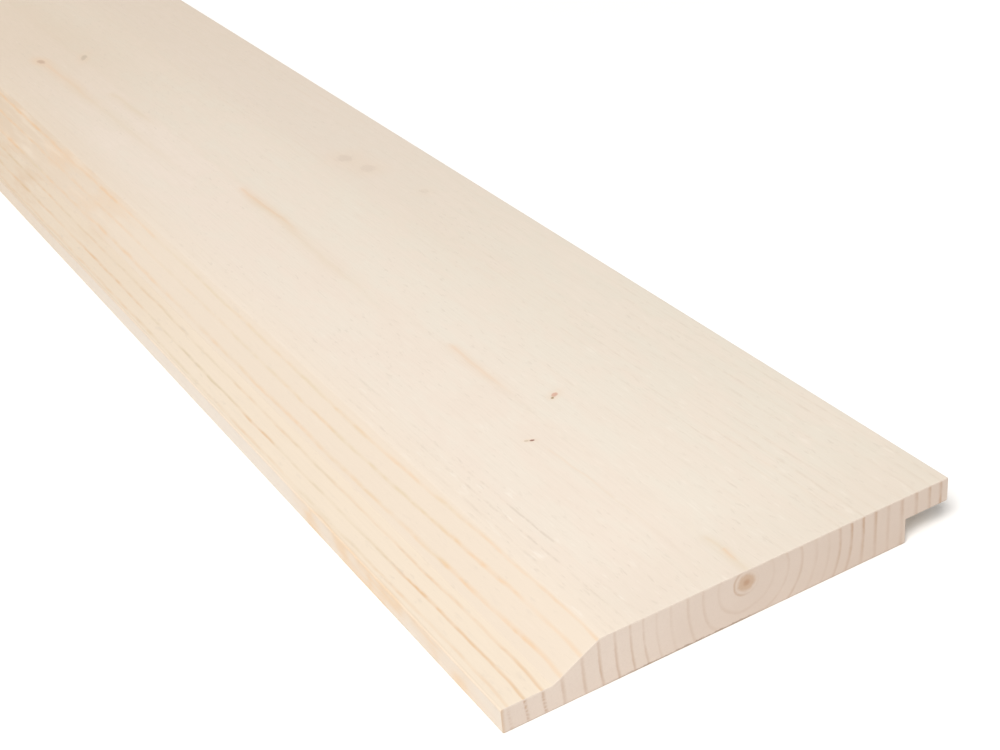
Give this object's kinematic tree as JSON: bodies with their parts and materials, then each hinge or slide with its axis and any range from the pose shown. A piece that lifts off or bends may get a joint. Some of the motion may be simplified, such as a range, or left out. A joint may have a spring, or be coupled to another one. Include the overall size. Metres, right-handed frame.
{
  "type": "shiplap cladding board",
  "caption": "Planed softwood shiplap board with a bevelled lip along one edge and a rebated tongue along the other, lapped with its neighbours to clad a wall.",
  "frame": {"origin": "middle of the board's back, halfway along its length and width, where it lies on the floor", "axes": "+X across the width from the lip to the tongue, +Y along the grain, +Z out of the weather face"},
  "size_m": [0.121, 1.8, 0.013],
  "materials": {
    "planed_spruce": "planed, untreated, matt"
  },
  "bodies": {
    "root": {"cladding_board": "planed_spruce"}
  },
  "joints": []
}
